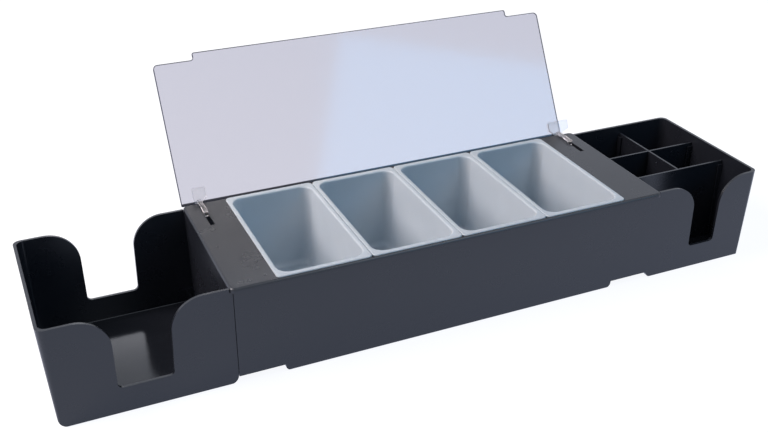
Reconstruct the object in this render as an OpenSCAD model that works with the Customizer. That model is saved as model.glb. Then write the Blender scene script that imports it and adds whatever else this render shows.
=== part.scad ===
// Bar condiment centre: a black housing that holds four lift-out pans under one
// clear flip lid, with a napkin caddy and a straw caddy pushed on at its ends.
// X runs along the length, the front faces -Y, and Z = 0 is the table.

/* [Housing] */
// Length of the deck along X
deck_length = 496; // [470:1:530]
// Depth of the deck along Y
deck_depth = 190; // [184:1:200]
// Height of the deck's top above the table
deck_height = 115; // [108:1:130]
// Thickness of the deck
deck_thickness = 3; // [2.6:0.1:3.6]
// Height of the lip that runs round the deck
lip_height = 5; // [4.2:0.1:7]
// Rounding of the lip's upper edge
lip_round = 3; // [0.8:0.1:3.4]
// Radius of the deck's corners, seen from above
deck_corner = 6; // [4:0.5:9]
// Thickness of the housing's walls and floor
housing_wall = 3; // [2.4:0.1:3.2]
// Distance from the deck's front edge back to the top of the front wall
wall_setback = 3.5; // [2.5:0.1:3.8]
// How far the front and back walls lean in from top to bottom
wall_lean = 5.5; // [4:0.5:6]
// Width of the plain ledge at each end of the deck
ledge_length = 47.25; // [44:0.25:52]
// Height of the skirts' lower edge above the table
skirt_lift = 8.5; // [5:0.1:12]
// Rounding of the front and back walls' lower edges
wall_round = 2; // [1:0.1:5]
// How far each end of the tub leans in from top to bottom
tub_lean = 5.6; // [1:0.1:6]
// Rounding of the tub's lower edges at its ends
tub_round = 7; // [3.5:0.1:9]

/* [Hinge slots] */
// Width of a hinge slot in the ledge
slot_width = 5; // [4.6:0.1:6]
// Length of a hinge slot along Y
slot_length = 39; // [30:1:45]
// Radius of a hinge slot's corners
slot_corner = 0.6; // [0.3:0.1:0.7]
// Distance from the deck's back edge to a slot
slot_back_margin = 17; // [16:0.5:17.4]
// Distance from the deck's end to a slot's centre line
slot_end_distance = 19.5; // [18:0.5:22]

/* [Pans] */
// Number of pans in the row
pan_count = 4; // [4:1:4]
// Gap between the rims of two pans
pan_gap = 0.5; // [0.3:0.1:1.2]
// Width of the deck in front of and behind the pans' rims
rim_strip = 3; // [2.6:0.1:6]
// Width of a pan's rim along its two long sides
rim_width = 5; // [4.6:0.1:8]
// Width of a pan's rim at its front and back
end_rim_width = 6.5; // [6.2:0.1:8]
// Thickness of a pan's rim
rim_thickness = 2.5; // [2:0.1:3]
// How far the rims stand above the deck
rim_proud = 1; // [0.6:0.1:1.2]
// Radius of a rim's outer corners
rim_corner = 5; // [3:0.5:7]
// Rounding of a rim's outer upper edge
rim_round = 1.1; // [0.4:0.1:1.3]
// Rounding of a rim's edge over the pan's inside
mouth_round = 1.8; // [0.6:0.1:2.2]
// Wall thickness of a pan
pan_wall = 2.2; // [1.6:0.1:2.6]
// Height of a pan from its foot to its rim
pan_height = 97; // [70:1:99]
// How far a pan's walls lean in from top to bottom
pan_lean = 4.9; // [4.7:0.1:8]
// Radius of a pan's upright inside corners
pan_corner = 13; // [12.5:0.5:20]
// Rounding between a pan's walls and its floor
pan_floor_round = 8; // [4:0.5:9]
// Play between a pan and the opening that it drops into
pan_play = 0.3; // [0.2:0.05:0.6]

/* [Lid] */
// Thickness of the clear lid
lid_thickness = 3; // [2:0.1:4]
// Distance from the deck's back edge forward to the lid's hinge edge
lid_back_inset = 24; // [22.5:0.1:26]
// Distance from the deck's front edge to the tab of the closed lid
lid_front_inset = 0.5; // [0:0.1:2]
// Distance from the deck's left end to the lid
lid_left_inset = 0.3; // [0:0.1:4]
// Distance from the deck's right end to the lid
lid_right_inset = 13; // [6:0.5:15]
// How far the tab stands out from the lid's shoulders
tab_reach = 8.1; // [4:0.1:14]
// Width of the left shoulder beside the tab
shoulder_left = 44.7; // [30:0.1:60]
// Width of the right shoulder beside the tab
shoulder_right = 44.2; // [30:0.1:60]
// Radius of the lid's front corners
lid_corner = 5.5; // [3:0.5:7]
// Radius of the lid's corners at its hinge edge
lid_back_corner = 1.5; // [0.5:0.1:3]
// Radius of the tab's corners
tab_corner = 2.5; // [1:0.1:3.5]
// Angle from the closed lid to the lid that leans back
lid_opening = 118.74; // [112:0.01:120]

/* [Hinge brackets] */
// Distance from the deck's back edge forward to the hinge axis
axis_inset = 12.4; // [12:0.1:13]
// Distance from the deck's top down to the hinge axis
axis_drop = 8.1; // [7.8:0.1:8.4]
// Thickness of the pad cemented to the lid
pad_thickness = 2; // [1.5:0.1:2.4]
// Length of the pad
pad_length = 17; // [12:0.5:22]
// Distance from the lid's hinge edge to the pad
pad_edge_inset = 1; // [0.5:0.1:3]
// Width of the left pad
left_pad_width = 14; // [10:0.5:20]
// How far the left pad's centre lies inboard of its slot
left_pad_offset = 2.2; // [0:0.1:4]
// Width of the right pad
right_pad_width = 27.6; // [22:0.1:28]
// How far the right pad's centre lies outboard of its slot
right_pad_offset = 4.2; // [0:0.1:5]
// Length over which a pad narrows to its leg
pad_taper = 6; // [3:0.5:8]
// Radius of a pad's front corners
pad_corner = 1.5; // [0.5:0.1:3]
// Thickness of a hinge leg
leg_thickness = 3; // [2.4:0.1:3.2]
// Length of a hinge leg over the deck, from the axis to its hook
leg_reach = 17.1; // [14:0.1:17.2]
// Width of the hook at the end of a hinge leg
hook_length = 3.4; // [2:0.1:4]
// Gap between a hinge leg and the deck that it swings over
leg_clearance = 0.4; // [0.3:0.05:0.6]
// Gap between a hinge leg and each side of its slot
slot_clearance = 0.2; // [0.1:0.05:0.4]

/* [Caddies] */
// Distance that the napkin caddy reaches past the deck
napkin_length = 176.5; // [150:0.5:190]
// Distance that the straw caddy reaches past the deck
straw_length = 139; // [125:1:160]
// Depth of the caddies along Y at their top edge
caddy_depth = 181; // [168:1:182]
// How far the caddies' walls lean in from top to bottom
caddy_lean = 5.5; // [2:0.1:6]
// Distance from the deck's top down to the caddies' top edge
caddy_drop = 1.5; // [0:0.5:4]
// Thickness of the caddies' walls and floor
caddy_wall = 3; // [2.2:0.1:3.1]
// Radius of the caddies' upright corners
caddy_corner = 8; // [8:0.5:12]
// Rounding of the caddies' lower edges
caddy_round = 1.5; // [1:0.1:1.8]
// Rounding of a caddy's lower edge beside the housing
caddy_end_round = 9.5; // [5:0.5:10]
// Rounding of the napkin caddy's lower edge at its far end
napkin_far_round = 11; // [2:0.5:12]
// Rounding of the straw caddy's lower edge at its far end
straw_far_round = 4; // [2:0.5:10]
// Gap between a caddy and the housing
caddy_gap = 0.3; // [0.2:0.05:0.5]
// Width of the napkin caddy's cut-outs
napkin_cut_width = 54; // [40:1:70]
// Distance from the deck's end to the middle of the napkin cut-outs
napkin_cut_centre = 86; // [80:1:95]
// Width of the straw caddy's cut-out
straw_cut_width = 35.5; // [24:0.5:44]
// Distance from the deck's end to the middle of the straw cut-out
straw_cut_centre = 71.8; // [60:0.1:80]
// Height of the cut-outs' sills above the table
cut_sill = 30; // [20:0.5:45]
// Radius of the lower corners of a cut-out
cut_corner = 5; // [2:0.5:8]
// How far a cut-out's side near the housing leans from bottom to top
cut_lean = 2.8; // [0.5:0.1:5]
// Radius of the flare at the top of a cut-out
cut_flare = 33.5; // [15:0.5:36]

/* [Caddy prongs] */
// Width of a prong that pushes into the housing
prong_width = 30; // [20:1:40]
// Height of a prong
prong_height = 12; // [8:0.5:20]
// How far a prong reaches through the housing's end wall
prong_reach = 9; // [6:0.5:14]
// Distance between the two prongs of a caddy
prong_spacing = 90; // [60:1:100]
// Height of the prongs' underside above the table
prong_level = 40; // [25:1:55]
// Play between a prong and its window
prong_play = 0.3; // [0.2:0.05:0.5]

/* [Dividers] */
// Thickness of a divider
divider_thickness = 2.4; // [1.8:0.1:3]
// Distance from the caddy's top edge down to the dividers
divider_drop = 9.5; // [5:0.5:20]
// Distance of the rear divider behind the middle
rear_divider_offset = 26; // [15:1:40]
// Distance of the front divider in front of the middle
front_divider_offset = 32.5; // [25:0.5:45]
// Distance from the deck's end to the cross divider
cross_divider_distance = 70; // [50:1:90]
// Play between a divider and what it slots into
divider_play = 0.3; // [0.2:0.05:0.4]
// Thickness of the ribs that guide a divider
rib_thickness = 2; // [1.2:0.1:3]
// How far the guide ribs stand out from the wall
rib_reach = 2.2; // [1.5:0.1:3]

/* [Hidden] */
$fn = 96;

// Overshoot of cuts that run out through a face
cut = 1;

// How far a rounded foot stands out beyond a tangent one
foot_crease = 0.04;

// How far a cut-out's flare starts inside the side that it grows out of
flare_crease = 0.15;

// Housing
deck_end = deck_length / 2;
deck_edge = deck_depth / 2;
deck_under = deck_height - deck_thickness;
lip_under = deck_height - lip_height;
wall_top = deck_edge - wall_setback;
end_wall = deck_end - wall_setback;

// Pans, and the opening that they drop into
row_end = deck_end - ledge_length;
pan_width = (2 * row_end - (pan_count - 1) * pan_gap) / pan_count;
pan_depth = deck_depth - 2 * rim_strip;
rim_top = deck_height + rim_proud;
rim_seat = rim_top - rim_thickness;
opening_end = row_end - (rim_width - pan_wall - pan_play);
opening_edge = pan_depth / 2 - (end_rim_width - pan_wall - pan_play);
tub_end = opening_end + housing_wall;

// Lid and hinge, in the closed position
axis_y = deck_edge - axis_inset;
axis_z = deck_height - axis_drop;
lid_under = deck_height + leg_clearance + pad_thickness;
lid_front = lid_front_inset - deck_edge;
lid_back = deck_edge - lid_back_inset;
lid_left = lid_left_inset - deck_end;
lid_right = deck_end - lid_right_inset;
slot_x = deck_end - slot_end_distance;
slot_back = deck_edge - slot_back_margin;
leg_width = slot_width - 2 * slot_clearance;
// Distance from the axis to the furthest point of the rounded lip
lip_sweep = norm([axis_inset - lip_round, axis_drop - lip_round]) + lip_round;
// Distance from the axis to the slot's back edge
slot_sweep = norm([slot_back_margin - axis_inset, axis_drop]);

// Caddies: their own X starts at the face that meets the housing
caddy_start = end_wall + caddy_gap;
caddy_top = deck_height - caddy_drop;
caddy_tuck = lip_under - caddy_gap;
caddy_step = deck_end + caddy_gap - caddy_start;
divider_top = caddy_top - divider_drop;
divider_foot = caddy_wall + divider_play;
divider_middle = (divider_top + divider_foot) / 2;
rib_top = divider_top - 2 * rib_thickness;
lap_width = divider_thickness + 2 * divider_play;
// Radius between a caddy's walls and its floor
inner_round = 1;

housing_black = [0.23, 0.25, 0.29];
pan_white = [0.90, 0.91, 0.93];
clear_acrylic = [0.80, 0.86, 0.93, 0.45];

// Half outline of a wall that leans in, rounded at its foot. It runs from the
// axis x = 0 out to x = top, and from z = 0 up to z = height. The rounding
// meets the wall at a slight angle, foot_crease further out than a tangent.
module leaning_profile(top, height, lean, foot_round) {
    angle = atan(lean / height);
    tangent = top - lean + lean * foot_round / height - foot_round / cos(angle);
    centre = tangent + foot_crease;
    intersection() {
        polygon([[0, 0], [top - lean, 0], [top, height], [0, height]]);
        union() {
            square([centre, 2 * height]);
            translate([0, foot_round]) square([2 * top, 2 * height]);
            translate([centre, foot_round]) circle(foot_round);
        }
    }
}

// Both halves of a leaning profile, half_width wide at the top
module leaning_section(half_width, height, lean, foot_round) {
    for (side = [0, 1]) mirror([side, 0])
        leaning_profile(half_width, height, lean, foot_round);
}

// Plate edge, reach long, with its outer upper edge rounded
module plate_profile(reach, thickness, edge_round) {
    square([reach - edge_round, thickness]);
    square([reach, thickness - edge_round]);
    intersection() {
        translate([reach - edge_round, thickness - edge_round]) circle(edge_round);
        square([2 * reach, 2 * thickness]);
    }
}

// Sweeps a half profile round a rectangle of half_x by half_y whose corners
// have the given radius. The profile's x = radius lies on the rectangle.
module plan_sweep(half_x, half_y, radius, height) {
    core_x = half_x - radius;
    core_y = half_y - radius;
    translate([-core_x, -core_y, 0]) cube([2 * core_x, 2 * core_y, height]);
    for (side = [0, 1]) {
        mirror([side, 0, 0]) translate([core_x, core_y, 0])
            rotate([90, 0, 0]) linear_extrude(2 * core_y) children();
        mirror([0, side, 0]) translate([-core_x, core_y, 0])
            rotate([90, 0, 90]) linear_extrude(2 * core_x) children();
        for (end = [0, 1]) mirror([side, 0, 0]) mirror([0, end, 0])
            translate([core_x, core_y, 0]) rotate_extrude(angle = 90) children();
    }
}

// Block with leaning walls and rounded corners, half_x by half_y at its top
module leaning_block(half_x, half_y, corner, height, lean, foot_round) {
    plan_sweep(half_x, half_y, corner, height)
        leaning_profile(corner, height, lean, foot_round);
}

// Rounded rectangle from corner to corner
module rounded_square(low, high, radius) {
    size = high - low;
    translate(low + [radius, 0]) square(size - [2 * radius, 0]);
    translate(low + [0, radius]) square(size - [0, 2 * radius]);
    for (x = [low.x + radius, high.x - radius], y = [low.y + radius, high.y - radius])
        translate([x, y]) circle(radius);
}

// Extrudes an outline drawn in X and Z along Y, half_y to each side
module across(half_y) {
    rotate([90, 0, 0]) linear_extrude(2 * half_y, center = true) children();
}

// Extrudes an outline drawn in Y and Z along X, from x0 to x1
module along(x0, x1) {
    translate([x0, 0, 0]) rotate([90, 0, 90]) linear_extrude(x1 - x0) children();
}

// ---------------------------------------------------------------- housing

// The housing's section across its length, held in by inset
module wall_section(inset) {
    lean = wall_lean * deck_under / lip_under;
    leaning_section(wall_top - inset, deck_under, lean, max(wall_round - inset, 1));
}

// The tub under the pans, held in by inset on all its sides
module tub_block(inset) {
    intersection() {
        translate([0, 0, inset]) across(deck_edge)
            leaning_section(tub_end - inset, deck_under - inset + cut, tub_lean,
                            max(tub_round - inset, 1));
        translate([0, 0, inset]) along(-deck_end, deck_end) wall_section(inset);
    }
}

module deck_plate() {
    translate([0, 0, lip_under])
        plan_sweep(deck_end, deck_edge, deck_corner, lip_height)
            plate_profile(deck_corner, lip_height, lip_round);
}

module housing_outside() {
    deck_plate();
    tub_block(0);
    intersection() {
        along(-end_wall, end_wall) wall_section(0);
        translate([-end_wall, -deck_edge, skirt_lift])
            cube([2 * end_wall, deck_depth, deck_height]);
    }
}

// The hollow under a ledge, open towards the table
module ledge_hollow() {
    difference() {
        along(tub_end - tub_lean - tub_round, end_wall - housing_wall)
            wall_section(housing_wall);
        tub_block(0);
    }
}

module slot_cutter() {
    translate([slot_x, slot_back, deck_under - cut]) linear_extrude(deck_thickness + 2 * cut)
        rounded_square([-slot_width / 2, -slot_length], [slot_width / 2, 0], slot_corner);
}

module prong_windows() {
    for (side = [-1, 1])
        translate([end_wall - housing_wall - cut,
                   side * prong_spacing / 2 - prong_width / 2 - prong_play,
                   prong_level - prong_play])
            cube([housing_wall + 2 * cut, prong_width + 2 * prong_play,
                  prong_height + 2 * prong_play]);
}

module housing() {
    color(housing_black) difference() {
        housing_outside();
        // Room under the deck, inside the walls
        intersection() {
            tub_block(housing_wall);
            translate([-deck_end, -deck_edge, 0]) cube([deck_length, deck_depth, deck_under]);
        }
        // Opening for the pans, and the seat that their rims rest in
        translate([0, 0, deck_under - cut]) linear_extrude(deck_thickness + 2 * cut)
            rounded_square([-opening_end, -opening_edge], [opening_end, opening_edge],
                           rim_corner);
        translate([0, 0, rim_seat]) linear_extrude(rim_thickness + cut)
            rounded_square([-row_end - pan_play, -pan_depth / 2 - pan_play],
                           [row_end + pan_play, pan_depth / 2 + pan_play],
                           rim_corner + pan_play);
        for (side = [0, 1]) mirror([side, 0, 0]) {
            ledge_hollow();
            slot_cutter();
            prong_windows();
        }
    }
}

// ---------------------------------------------------------------- pans

module pan_at_origin() {
    body_x = pan_width / 2 - rim_width + pan_wall;
    body_y = pan_depth / 2 - end_rim_width + pan_wall;
    difference() {
        union() {
            leaning_block(body_x, body_y, pan_corner + pan_wall, pan_height - rim_round,
                          pan_lean, pan_floor_round);
            translate([0, 0, pan_height - rim_thickness])
                plan_sweep(pan_width / 2, pan_depth / 2, rim_corner, rim_thickness)
                    plate_profile(rim_corner, rim_thickness, rim_round);
        }
        translate([0, 0, pan_wall])
            leaning_block(body_x - pan_wall, body_y - pan_wall, pan_corner,
                          pan_height - pan_wall, pan_lean, pan_floor_round - pan_wall / 2);
        // The rim rolls over into the pan
        translate([0, 0, pan_height - mouth_round])
            plan_sweep(body_x - pan_wall + mouth_round, body_y - pan_wall + mouth_round,
                       pan_corner + mouth_round, mouth_round + cut) rolled_edge();
    }
}

// Half outline of the mouth of a pan, which widens over the rounded rim
module rolled_edge() {
    mouth = pan_corner + mouth_round;
    difference() {
        square([mouth, mouth_round + cut]);
        translate([mouth, 0]) circle(mouth_round);
    }
}

// Pans are counted from the left, starting at 0
module pan(index) {
    color(pan_white)
        translate([(index - (pan_count - 1) / 2) * (pan_width + pan_gap), 0,
                   rim_top - pan_height])
            pan_at_origin();
}

// ---------------------------------------------------------------- lid

// Turns what is drawn for the closed lid to the opened lid
module opened() {
    translate([0, axis_y, axis_z]) rotate([-lid_opening, 0, 0])
        translate([0, -axis_y, -axis_z]) children();
}

// Rounds the inner corner at the foot of the tab, at the origin's upper left
module tab_fillet() {
    difference() {
        square(tab_corner);
        translate([0, tab_corner]) circle(tab_corner);
    }
}

module lid_outline() {
    tab_left = lid_left + shoulder_left;
    tab_right = lid_right - shoulder_right;
    shoulder = lid_front + tab_reach;
    rounded_square([lid_left, shoulder], [lid_right, lid_back - lid_corner], lid_corner);
    rounded_square([lid_left, shoulder + lid_corner], [lid_right, lid_back], lid_back_corner);
    rounded_square([tab_left, lid_front], [tab_right, lid_back - lid_corner], tab_corner);
    translate([tab_right, shoulder]) mirror([0, 1]) mirror([1, 0])
        translate([-tab_corner, 0]) tab_fillet();
    translate([tab_left, shoulder]) mirror([0, 1])
        translate([-tab_corner, 0]) tab_fillet();
}

module lid_panel() {
    color(clear_acrylic) opened() translate([0, 0, lid_under])
        linear_extrude(lid_thickness) lid_outline();
}

// Side outline of a hinge leg in the opened position, seen along X with the
// hinge axis at the origin. It bends round the deck's lip, lies along the deck
// and hooks down into the slot.
module leg_outline() {
    inner = lip_sweep + leg_clearance;
    outer = inner + leg_thickness;
    under = axis_drop + leg_clearance;
    top = under + leg_thickness;
    difference() {
        union() {
            intersection() {
                circle(outer);
                square([outer + cut, top]);
            }
            translate([-leg_reach, under]) square([leg_reach + cut, leg_thickness]);
            translate([-leg_reach, axis_drop - deck_thickness])
                square([hook_length, deck_thickness + leg_clearance + cut]);
        }
        // The bend stays clear of the lip
        intersection() {
            circle(inner);
            square([inner, under]);
        }
        // Relief that lets the leg swing past the slot's back edge
        circle(slot_sweep + leg_clearance);
        // The leg ends at the lid's face
        rotate(-lid_opening) translate([-deck_depth, lid_under - axis_z])
            square(2 * deck_depth);
    }
}

module hinge_leg() {
    translate([0, axis_y, axis_z]) along(-leg_width / 2, leg_width / 2) leg_outline();
}

// Outline of a pad on the closed lid, with the slot at x = 0. It is rounded at
// its front and narrows to the leg at its back.
module pad_outline(width, offset) {
    low = offset - width / 2;
    high = offset + width / 2;
    pad_back = lid_back - pad_edge_inset;
    pad_front = pad_back - pad_length;
    neck = leg_width / 2 + 1;
    polygon([[low, pad_front + pad_corner], [high, pad_front + pad_corner],
             [high, pad_back - pad_taper], [neck, pad_back],
             [-neck, pad_back], [low, pad_back - pad_taper]]);
    translate([low + pad_corner, pad_front]) square([width - 2 * pad_corner, pad_corner]);
    for (x = [low + pad_corner, high - pad_corner])
        translate([x, pad_front + pad_corner]) circle(pad_corner);
}

module hinge_bracket(slot_place, width, offset) {
    color(clear_acrylic) translate([slot_place, 0, 0]) {
        opened() translate([0, 0, lid_under - pad_thickness])
            linear_extrude(pad_thickness) pad_outline(width, offset);
        hinge_leg();
    }
}

module hinge_bracket_left() {
    hinge_bracket(-slot_x, left_pad_width, left_pad_offset);
}

module hinge_bracket_right() {
    hinge_bracket(slot_x, right_pad_width, right_pad_offset);
}

// ---------------------------------------------------------------- caddies

// Sweeps a half profile round the far end of a caddy and along its two sides.
// It is cut off square at x = start, where the caddy meets the housing.
module open_sweep(start, length, half_y, radius, height) {
    core_x = length - radius;
    core_y = half_y - radius;
    translate([start, -core_y, 0]) cube([core_x - start, 2 * core_y, height]);
    translate([core_x, core_y, 0]) rotate([90, 0, 0]) linear_extrude(2 * core_y) children();
    for (side = [0, 1]) mirror([0, side, 0]) {
        translate([start, core_y, 0])
            rotate([90, 0, 90]) linear_extrude(core_x - start) children();
        translate([core_x, core_y, 0]) rotate_extrude(angle = 90) children();
    }
}

// Rounds the lower edge across a caddy, in short flats that meet the two faces
// at an angle. The edge lies at x = 0, with the caddy on its +X side.
module end_round(radius) {
    across(caddy_depth)
        polygon(concat([[-cut, radius], [-cut, -cut], [radius, -cut]],
                       [for (a = [270 : -15 : 180]) radius * [1 + cos(a), 1 + sin(a)]]));
}

// Outside of a caddy, held in by inset. Its X starts at the housing.
module caddy_block(length, far_round, inset) {
    height = caddy_top - inset + (inset > 0 ? cut : 0);
    near = max(caddy_end_round - inset, inner_round);
    far = max(far_round - inset, inner_round);
    // The far wall leans, so its edge lies where the wall is at the round's top
    far_edge = length - inset - caddy_lean * (1 - far / height) + foot_crease;
    translate([0, 0, inset]) difference() {
        open_sweep(inset, length - inset, caddy_depth / 2 - inset, caddy_corner, height)
            leaning_profile(caddy_corner, height, caddy_lean,
                            inset > 0 ? inner_round : caddy_round);
        translate([inset, 0, 0]) end_round(near);
        if (far > inner_round) translate([far_edge, 0, 0]) mirror([1, 0, 0]) end_round(far);
    }
}

// The part of a cut-out's flare on the +X side. It grows out of x = side.
module flare(side) {
    difference() {
        translate([0, caddy_top - cut_flare]) square([side + cut_flare, cut_flare + cut]);
        translate([side + cut_flare, caddy_top - cut_flare]) circle(cut_flare);
    }
}

// Cut-out with straight sides that flares towards the top edge. Its side near
// the housing leans, and the other one is upright.
module cut_outline(width) {
    foot = cut_sill + cut_corner;
    slope = cut_lean / (caddy_top - foot);
    near_side = width / 2 + slope * (caddy_top - cut_flare - foot) - flare_crease;
    rounded_square([-width / 2, cut_sill], [width / 2, caddy_top + cut + cut_corner],
                   cut_corner);
    polygon([[-width / 2, foot], [0, foot], [0, caddy_top + cut],
             [-width / 2 - slope * (caddy_top + cut - foot), caddy_top + cut]]);
    flare(width / 2);
    mirror([1, 0]) flare(near_side);
}

module caddy_prongs() {
    for (side = [-1, 1])
        translate([-caddy_gap - prong_reach, side * prong_spacing / 2 - prong_width / 2,
                   prong_level])
            cube([prong_reach + caddy_gap + caddy_wall, prong_width, prong_height]);
}

module caddy_shell(length, far_round) {
    difference() {
        caddy_block(length, far_round, 0);
        caddy_block(length, far_round, caddy_wall);
        // The end under the deck's lip is lower
        translate([-cut, -caddy_depth, caddy_tuck])
            cube([caddy_step + cut, 2 * caddy_depth, deck_height]);
    }
    caddy_prongs();
}

// Moves a caddy to its end of the housing
module at_end(side) {
    mirror([side < 0 ? 1 : 0, 0, 0]) translate([caddy_start, 0, 0]) children();
}

module napkin_caddy() {
    middle = deck_end + napkin_cut_centre - caddy_start;
    color(housing_black) at_end(-1) difference() {
        caddy_shell(deck_end + napkin_length - caddy_start, napkin_far_round);
        translate([middle, 0, 0]) across(caddy_depth) cut_outline(napkin_cut_width);
    }
}

// X of the cross divider and of the caddy's far wall, in the caddy's own X
straw_reach = deck_end + straw_length - caddy_start;
cross_x = deck_end + cross_divider_distance - caddy_start;

// Inside face of the far wall and of the back wall at a height
function far_face(z) = straw_reach - caddy_wall - caddy_lean * (caddy_top - z) / caddy_top;
function back_face(z) = caddy_depth / 2 - caddy_wall - caddy_lean * (caddy_top - z) / caddy_top;

// Pair of ribs on either side of y = 0, from x0 to x1, standing on the floor
module rib_pair(x0, x1) {
    for (side = [-1, 1])
        translate([x0, side * (lap_width + rib_thickness) / 2 - rib_thickness / 2,
                   caddy_wall - cut])
            cube([x1 - x0, rib_thickness, rib_top - caddy_wall + cut]);
}

module divider_ribs() {
    // The ribs on a leaning wall end in that wall, and the block trims them
    intersection() {
        union() {
            for (y = [rear_divider_offset, -front_divider_offset]) translate([0, y, 0]) {
                rib_pair(0, caddy_wall + rib_reach);
                rib_pair(far_face(0) - rib_reach, straw_reach);
            }
            translate([cross_x, 0, 0]) rotate([0, 0, 90])
                rib_pair(back_face(0) - rib_reach, caddy_depth / 2);
        }
        caddy_block(straw_reach, straw_far_round, caddy_wall / 2);
    }
}

module straw_caddy() {
    middle = deck_end + straw_cut_centre - caddy_start;
    color(housing_black) at_end(1) {
        difference() {
            caddy_shell(straw_reach, straw_far_round);
            translate([middle, -caddy_depth / 2, 0]) across(caddy_depth / 4)
                cut_outline(straw_cut_width);
        }
        divider_ribs();
    }
}

// ---------------------------------------------------------------- dividers

// Outline of a divider that follows a leaning wall at its far side. Its foot
// is cut off at both ends, where the caddy's floor is rounded.
module divider_outline(start, foot, top, start_cut) {
    lean = (top - foot) * inner_round / (divider_top - divider_foot);
    polygon([[start, divider_foot + start_cut], [start + start_cut, divider_foot],
             [foot - inner_round, divider_foot], [foot + lean, divider_foot + inner_round],
             [top, divider_top], [start, divider_top]]);
}

// Side outline of a divider that runs from the housing to the far wall
module lengthwise_outline() {
    divider_outline(caddy_wall + divider_play, far_face(divider_foot) - divider_play,
                    far_face(divider_top) - divider_play, caddy_end_round - caddy_wall);
}

// Side outline of the cross divider, from the front divider to the back wall
module cross_outline() {
    divider_outline(-front_divider_offset + divider_thickness / 2 + divider_play,
                    back_face(divider_foot) - divider_play,
                    back_face(divider_top) - divider_play, inner_round);
}

module front_divider() {
    color(housing_black) at_end(1) translate([0, -front_divider_offset, 0])
        across(divider_thickness / 2) lengthwise_outline();
}

// The two dividers that cross are halved over each other
module rear_divider() {
    color(housing_black) at_end(1) translate([0, rear_divider_offset, 0])
        across(divider_thickness / 2) difference() {
            lengthwise_outline();
            translate([cross_x - lap_width / 2, divider_middle - divider_play])
                square([lap_width, divider_top]);
        }
}

module cross_divider() {
    color(housing_black) at_end(1)
        along(cross_x - divider_thickness / 2, cross_x + divider_thickness / 2)
            difference() {
                cross_outline();
                translate([rear_divider_offset - lap_width / 2, 0])
                    square([lap_width, divider_middle]);
            }
}

housing();
pan(0);  // pan_1
pan(1);  // pan_2
pan(2);  // pan_3
pan(3);  // pan_4
lid_panel();
hinge_bracket_left();
hinge_bracket_right();
napkin_caddy();
straw_caddy();
front_divider();
rear_divider();
cross_divider();
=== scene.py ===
import math

import bmesh
import bpy
from mathutils import Matrix, Vector


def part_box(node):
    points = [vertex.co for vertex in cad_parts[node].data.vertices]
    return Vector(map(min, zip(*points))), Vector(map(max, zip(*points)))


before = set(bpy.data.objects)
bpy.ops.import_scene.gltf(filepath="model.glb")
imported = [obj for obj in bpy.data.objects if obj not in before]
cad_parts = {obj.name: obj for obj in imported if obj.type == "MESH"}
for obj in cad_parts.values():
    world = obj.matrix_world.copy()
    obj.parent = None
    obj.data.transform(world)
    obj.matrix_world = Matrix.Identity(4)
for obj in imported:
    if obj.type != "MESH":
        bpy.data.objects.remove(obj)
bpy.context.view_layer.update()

# The photograph's view: where it was taken, a turn from +Y toward +X, a downward tilt
# and a small roll
VIEW_POINT = (-0.44355, -0.92585, 0.63651)
VIEW_TURN = math.radians(24.697)
VIEW_TILT = math.radians(27.96)
VIEW_ROLL = math.radians(0.165)
FRAME_WIDTH = 768
FOCAL_PIXELS = 1045.9
SHIFT_X_PIXELS = -26.8
SHIFT_Y_PIXELS = 2.2
SENSOR_WIDTH = 36.0
CLIP_NEAR = 0.05
CLIP_FAR = 60

# Width of the rounding on the sharp edges of mouldings and brackets, and on the lid's edges
MOULDED_EDGE = 0.0002
# On the lid, this rounding is where the painted edge shade lies
LID_EDGE = 0.0014
ROUNDING_SEGMENTS = 3
# An edge is sharp when its faces meet at more than this angle
SHARP_ANGLE = math.radians(28)
# Faces that meet at less than this angle are one flat face
FLAT_ANGLE = math.radians(0.5)
# Points closer than this are one point
WELD_DISTANCE = 0.000002
# How far large faces set the shading of an edge. All count by their area at 50
LARGE_FACE_WEIGHT = 60

UP = (0.0, 0.0, 1.0)
# Square to the opened lid's faces, and up along it from its hinge edge
LID_NORMAL = (0.0, 0.877, -0.481)
LID_UP = (0.0, 0.481, 0.877)
# Height of the strip of painted shade along the lid's hinge edge, and of its soft upper border
PAINTED_SHADE_STRIP = 0.0042
PAINTED_SHADE_FADE = 0.0006
# Acrylic that faces along LID_NORMAL by less than the first of these shares is an edge,
# which takes painted shade, and by more than the second it is a face
EDGE_SQUARENESS = 0.94
FACE_SQUARENESS = 0.995

# The caddies' floors are polished: up to this height, black plastic has only this share
# of its roughness. Above the fade it has all of it
POLISHED_HEIGHT = 0.004
POLISHED_FADE = 0.002
POLISHED_SHARE = 0.4

# Detail of the noise in a drift of colour, in a change of gloss and in a moulded grain
DRIFT_DETAIL = 3
GLOSS_DETAIL = 4
GRAIN_DETAIL = 2
# Noise stays near its middle, so only this stretch of it is used
DRIFT_STRETCH = (0.35, 0.65)
PLASTIC_GLOSS_STRETCH = (0.3, 0.7)
ACRYLIC_GLOSS_STRETCH = (0.4, 0.8)
# How much the roughness of acrylic varies
ACRYLIC_VARIATION = 0.02

# The light all round, and its colour where it is seen and where a gloss mirrors it
AMBIENT_COLOUR = (0.045, 0.088, 0.125)
BACKDROP_COLOUR = (1.0, 1.0, 1.0)
MIRRORED_BACKDROP = (0.80, 0.83, 0.92)

# The floor reaches this far from the middle on each side, in a grid of cells
FLOOR_REACH = 6
FLOOR_CELLS = 8
# Its glow where it is seen, and where a gloss mirrors it
FLOOR_GLOW = (0.93, 0.94, 0.97)
MIRRORED_FLOOR_GLOW = (0.82, 0.87, 1.10)
FLOOR_GLOW_STRENGTH = 0.99

# What the two upper lamps face: the middle of the caddy, a little below its deck
MIDDLE = (0, 0, 0.1)


# ---------------------------------------------------------------- nodes

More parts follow.
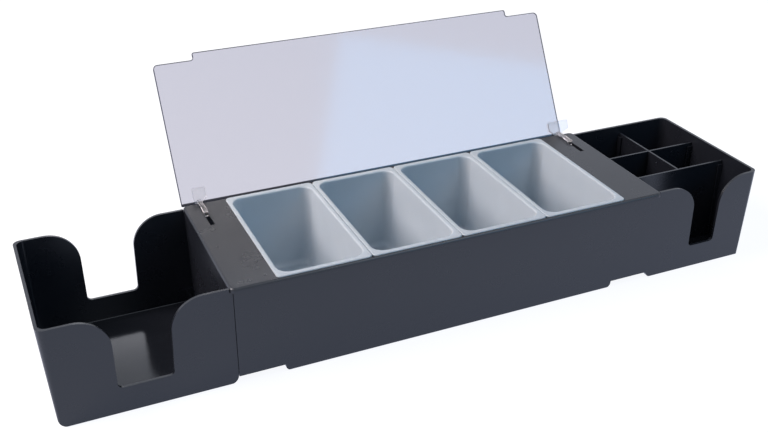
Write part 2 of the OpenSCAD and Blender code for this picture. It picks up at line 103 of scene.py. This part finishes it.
def feed(tree, node, inputs):
    """Fills a node's inputs, given by name or number. An output of another node is
    linked. A number, a vector or a (red, green, blue) colour is set."""
    for key, source in inputs.items():
        socket = node.inputs[key]
        if isinstance(source, bpy.types.NodeSocket):
            tree.links.new(source, socket)
        elif socket.type == "RGBA":
            socket.default_value = (*source, 1)
        else:
            socket.default_value = source


def output_of(tree, kind, output, inputs, **settings):
    """Adds a node of this kind with these settings and inputs. Returns the output."""
    node = tree.nodes.new("ShaderNode" + kind)
    for name, value in settings.items():
        setattr(node, name, value)
    feed(tree, node, inputs)
    return node.outputs[output]


def calculated(tree, operation, first, second=0.0):
    """The result of a maths operation on one or two values."""
    return output_of(tree, "Math", "Value", {0: first, 1: second}, operation=operation)


def ranged(tree, value, low, high, start=0.0, end=1.0):
    """Maps value from start..end to low..high, and keeps it within them."""
    return output_of(tree, "MapRange", "Result",
                     {"Value": value, "From Min": start, "From Max": end,
                      "To Min": low, "To Max": high})


def between(tree, factor, first, second):
    """Mixes two colours: the first where factor is 0, the second where it is 1."""
    return output_of(tree, "Mix", "Result", {"Factor": factor, "A": first, "B": second},
                     data_type="RGBA")


def share_along(tree, coordinate, direction):
    """Dot product of a direction and the piece's Object coordinate or Normal at rest."""
    place = output_of(tree, "TexCoord", coordinate, {})
    return output_of(tree, "VectorMath", "Value", {0: place, 1: direction},
                     operation="DOT_PRODUCT")


def noise(tree, scale, detail):
    """Noise with about scale lumps to the metre, fixed to the piece."""
    place = output_of(tree, "TexCoord", "Object", {})
    return output_of(tree, "TexNoise", "Fac",
                     {"Vector": place, "Scale": scale, "Detail": detail})


def drifting(tree, scale, first, second):
    """Colour that drifts between two tones."""
    return between(tree, ranged(tree, noise(tree, scale, DRIFT_DETAIL), 0, 1, *DRIFT_STRETCH),
                   first, second)


def glossed(tree, scale, smooth, rough, stretch):
    """Roughness that varies from smooth to rough over a stretch of noise."""
    return ranged(tree, noise(tree, scale, GLOSS_DETAIL), smooth, rough, *stretch)


def grained(tree, scale, depth):
    """Normal of a surface with a fine moulded grain."""
    return output_of(tree, "Bump", "Normal",
                     {"Height": noise(tree, scale, GRAIN_DETAIL), "Distance": depth})


def ray_share(tree, kinds):
    """1 for the kinds of ray that are named, 0 for the others."""
    path = tree.nodes.new("ShaderNodeLightPath")
    total = path.outputs[kinds[0]]
    for kind in kinds[1:]:
        total = calculated(tree, "MAXIMUM", total, path.outputs[kind])
    return total


# ---------------------------------------------------------------- materials

def new_material(name):
    """A node material. Returns it with its node tree and its surface shader."""
    material = bpy.data.materials.new(name)
    material.use_nodes = True
    tree = material.node_tree
    return material, tree, tree.nodes["Principled BSDF"]


def black_plastic():
    """Black moulded plastic with a cool tone, a fine grain and a satin gloss."""
    material, tree, shader = new_material("outer_black")
    satin = glossed(tree, scale=26, smooth=0.26, rough=0.31, stretch=PLASTIC_GLOSS_STRETCH)
    polish = ranged(tree, share_along(tree, "Object", UP), POLISHED_SHARE, 1,
                    POLISHED_HEIGHT, POLISHED_HEIGHT + POLISHED_FADE)
    feed(tree, shader, {
        "Base Color": drifting(tree, scale=9, first=(0.0100, 0.0115, 0.0160),
                               second=(0.0140, 0.0155, 0.0205)),
        "Roughness": calculated(tree, "MULTIPLY", satin, polish),
        "IOR": 1.54,
        "Specular Tint": (0.90, 0.95, 1.0),
        "Normal": grained(tree, scale=1400, depth=0.00002),
    })
    return material


def white_plastic():
    """White polypropylene, glossy, and slightly waxy."""
    material, tree, shader = new_material("white_plastic")
    feed(tree, shader, {
        "Base Color": drifting(tree, scale=14, first=(0.54, 0.61, 0.67),
                               second=(0.58, 0.65, 0.71)),
        "Roughness": glossed(tree, scale=40, smooth=0.28, rough=0.33,
                             stretch=PLASTIC_GLOSS_STRETCH),
        "Normal": grained(tree, scale=900, depth=0.00001),
        "Subsurface Weight": 0.35,
        "Subsurface Radius": (0.8, 0.9, 1.0),
        "Subsurface Scale": 0.012,
    })
    return material


def clear_plastic(name, face_tint, painted_shade, polish, painted_shade_top=None):
    """Clear acrylic sheet. Its edges and, where a strip top is given, the part below that
    height along LID_UP carry painted shade, a darker colour. Light from the lamps passes
    straight through it."""
    material, tree, shader = new_material(name)
    square = calculated(tree, "ABSOLUTE", share_along(tree, "Normal", LID_NORMAL))
    face = ranged(tree, square, 0, 1, EDGE_SQUARENESS, FACE_SQUARENESS)
    # Below the strip's top along LID_UP, the sheet takes painted shade
    if painted_shade_top is not None:
        above = ranged(tree, share_along(tree, "Object", LID_UP), 0, 1,
                       painted_shade_top, painted_shade_top + PAINTED_SHADE_FADE)
        face = calculated(tree, "MINIMUM", face, above)
    feed(tree, shader, {
        # Painted shade: edges and the strip take the darker colour, faces the sheet's own tint
        "Base Color": between(tree, face, painted_shade, face_tint),
        "Roughness": glossed(tree, scale=60, smooth=polish, rough=polish + ACRYLIC_VARIATION,
                             stretch=ACRYLIC_GLOSS_STRETCH),
        "IOR": 1.49,
        "Transmission Weight": 1.0,
    })
    through = output_of(tree, "BsdfTransparent", "BSDF", {"Color": face_tint})
    surface = output_of(tree, "MixShader", "Shader",
                        {"Fac": ray_share(tree, ("Is Shadow Ray",)),
                         1: shader.outputs["BSDF"], 2: through})
    feed(tree, tree.nodes["Material Output"], {"Surface": surface})
    return material


lid_foot = Vector(LID_UP).dot(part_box("lid_panel")[0])

outer_black = black_plastic()
white = white_plastic()
# The lid's edges and its foot carry dark painted shade, the hinges' edges a paler painted shade
clear_lid = clear_plastic("clear_lid", face_tint=(0.618, 0.592, 0.566),
                          painted_shade=(0.015, 0.015, 0.020), polish=0.07,
                          painted_shade_top=lid_foot + PAINTED_SHADE_STRIP)
clear_hinge = clear_plastic("clear_hinge", face_tint=(0.92, 0.905, 0.89),
                            painted_shade=(0.60, 0.60, 0.62), polish=0.30)


# ---------------------------------------------------------------- edges

def make_smooth_shading():
    """Geometry nodes that shade every face smooth."""
    group = bpy.data.node_groups.new("smooth_shading", "GeometryNodeTree")
    for direction in ("INPUT", "OUTPUT"):
        group.interface.new_socket("Geometry", in_out=direction,
                                   socket_type="NodeSocketGeometry")
    start = group.nodes.new("NodeGroupInput")
    smooth = group.nodes.new("GeometryNodeSetShadeSmooth")
    end = group.nodes.new("NodeGroupOutput")
    group.links.new(start.outputs["Geometry"], smooth.inputs["Geometry"])
    group.links.new(smooth.outputs["Geometry"], end.inputs["Geometry"])
    return group


smooth_shading = make_smooth_shading()


def soften(piece, width):
    """Rounds a CAD node's sharp edges to a width, or none of them where it is 0, and
    shades it smooth. Its own mesh stays as it is."""
    weld = piece.modifiers.new("weld", "WELD")
    weld.merge_threshold = WELD_DISTANCE
    if width > 0:
        flats = piece.modifiers.new("flats", "DECIMATE")
        flats.decimate_type = "DISSOLVE"
        flats.angle_limit = FLAT_ANGLE
        bevel = piece.modifiers.new("bevel", "BEVEL")
        bevel.width = width
        bevel.segments = ROUNDING_SEGMENTS
        bevel.limit_method = "ANGLE"
        bevel.angle_limit = SHARP_ANGLE
    smooth = piece.modifiers.new("smooth", "NODES")
    smooth.node_group = smooth_shading
    normals = piece.modifiers.new("normals", "WEIGHTED_NORMAL")
    normals.mode = "FACE_AREA"
    normals.weight = LARGE_FACE_WEIGHT


# ---------------------------------------------------------------- stage

def in_scene(name, data):
    """A new object with this data, in the scene."""
    item = bpy.data.objects.new(name, data)
    bpy.context.scene.collection.objects.link(item)
    return item


def look(point, turn, tilt, roll):
    """Matrix of a camera at point, turned from +Y toward +X, tilted down and rolled."""
    ahead = Vector((math.sin(turn) * math.cos(tilt), math.cos(turn) * math.cos(tilt),
                    -math.sin(tilt)))
    level = Vector((math.cos(turn), -math.sin(turn), 0))
    upward = level.cross(ahead)
    right = level * math.cos(roll) + upward * math.sin(roll)
    above = upward * math.cos(roll) - level * math.sin(roll)
    turned = Matrix((right, above, -ahead)).transposed().to_4x4()
    return Matrix.Translation(point) @ turned


def make_camera():
    """The photograph's camera."""
    data = bpy.data.cameras.new("camera")
    data.sensor_fit = "HORIZONTAL"
    data.sensor_width = SENSOR_WIDTH
    data.lens = FOCAL_PIXELS * SENSOR_WIDTH / FRAME_WIDTH
    data.shift_x = SHIFT_X_PIXELS / FRAME_WIDTH
    data.shift_y = SHIFT_Y_PIXELS / FRAME_WIDTH
    data.clip_start = CLIP_NEAR
    data.clip_end = CLIP_FAR
    camera = in_scene("camera", data)
    camera.matrix_world = look(VIEW_POINT, VIEW_TURN, VIEW_TILT, VIEW_ROLL)
    bpy.context.scene.camera = camera


def make_world():
    """Dim cool light all round. It is white where it is seen, and pale in a gloss."""
    world = bpy.data.worlds.new("world")
    world.use_nodes = True
    bpy.context.scene.world = world
    tree = world.node_tree
    seen = between(tree, ray_share(tree, ("Is Camera Ray", "Is Transmission Ray")),
                   AMBIENT_COLOUR, BACKDROP_COLOUR)
    mirrored = between(tree, ray_share(tree, ("Is Glossy Ray",)), seen, MIRRORED_BACKDROP)
    feed(tree, tree.nodes["Background"], {"Color": mirrored})


def make_floor():
    """A pale floor. Its glow is seen, also in a gloss and through the lid, but it lights
    nothing. What the lamps add to it shows their light and the shadows."""
    mesh = bpy.data.meshes.new("floor")
    build = bmesh.new()
    bmesh.ops.create_grid(build, x_segments=FLOOR_CELLS, y_segments=FLOOR_CELLS,
                          size=FLOOR_REACH)
    build.to_mesh(mesh)
    build.free()
    floor = in_scene("floor", mesh)
    material, tree, shader = new_material("pale_floor")
    feed(tree, shader, {
        "Base Color": (0.22, 0.215, 0.20),
        "Roughness": 0.9,
        "Specular IOR Level": 0.0,
    })
    colour = between(tree, ray_share(tree, ("Is Glossy Ray",)), FLOOR_GLOW, MIRRORED_FLOOR_GLOW)
    seen = ray_share(tree, ("Is Camera Ray", "Is Glossy Ray", "Is Transmission Ray"))
    glow = output_of(tree, "Emission", "Emission",
                     {"Color": colour, "Strength": ranged(tree, seen, 0, FLOOR_GLOW_STRENGTH)})
    surface = output_of(tree, "AddShader", "Shader", {0: shader.outputs["BSDF"], 1: glow})
    feed(tree, tree.nodes["Material Output"], {"Surface": surface})
    floor.data.materials.append(material)


def area_lamp(name, place, target, size, power, colour, roll=0):
    """A softbox of size (width, height) that faces target, turned by roll degrees."""
    data = bpy.data.lights.new(name, "AREA")
    data.shape = "RECTANGLE"
    data.size, data.size_y = size
    data.energy = power
    data.color = colour
    lamp = in_scene(name, data)
    aim = (Vector(target) - Vector(place)).to_track_quat("-Z", "Y").to_matrix().to_4x4()
    turn = Matrix.Rotation(math.radians(roll), 4, "Z")
    lamp.matrix_world = Matrix.Translation(place) @ aim @ turn


make_camera()
make_world()
make_floor()
# The main light, a large warm softbox high on the left
area_lamp("key_lamp", place=(-1.9, 0.5, 1.7), target=MIDDLE, size=(1.4, 1.4), power=71,
          colour=(1.0, 0.89, 0.87))
# A cool softbox in front, which the right part of the lid mirrors
area_lamp("front_lamp", place=(0.88, -1.46, 1.04), target=(0.05, 0.14, 0.18),
          size=(0.74, 0.63), power=3.45, colour=(0.10, 0.53, 1.0), roll=-33)
# A softbox overhead, which the rounded lip mirrors
area_lamp("top_lamp", place=(0.74, -0.70, 1.9), target=MIDDLE, size=(0.8, 0.8), power=6,
          colour=(0.95, 0.97, 1.0))
# A softbox behind the lid, which the deck's left end mirrors
area_lamp("back_lamp", place=(0.3, 2.3, 1.25), target=(-0.2, 0, 0.1), size=(1.0, 0.5),
          power=2.7, colour=(1.0, 0.97, 1.0))


# ---------------------------------------------------------------- finish

BLACK_NODES = ("housing", "napkin_caddy", "straw_caddy", "front_divider", "rear_divider",
               "cross_divider")
PAN_NODES = ("pan_1", "pan_2", "pan_3", "pan_4")
HINGE_NODES = ("hinge_bracket_left", "hinge_bracket_right")


def finish(names, material, edge_width):
    """Gives CAD nodes a material and the rounding of their edges."""
    for name in names:
        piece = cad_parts[name]
        piece.data.materials.clear()
        piece.data.materials.append(material)
        soften(piece, edge_width)


finish(BLACK_NODES, outer_black, MOULDED_EDGE)
finish(PAN_NODES, white, edge_width=0)
finish(("lid_panel",), clear_lid, LID_EDGE)
finish(HINGE_NODES, clear_hinge, MOULDED_EDGE)

bpy.context.scene.view_settings.view_transform = "Standard"
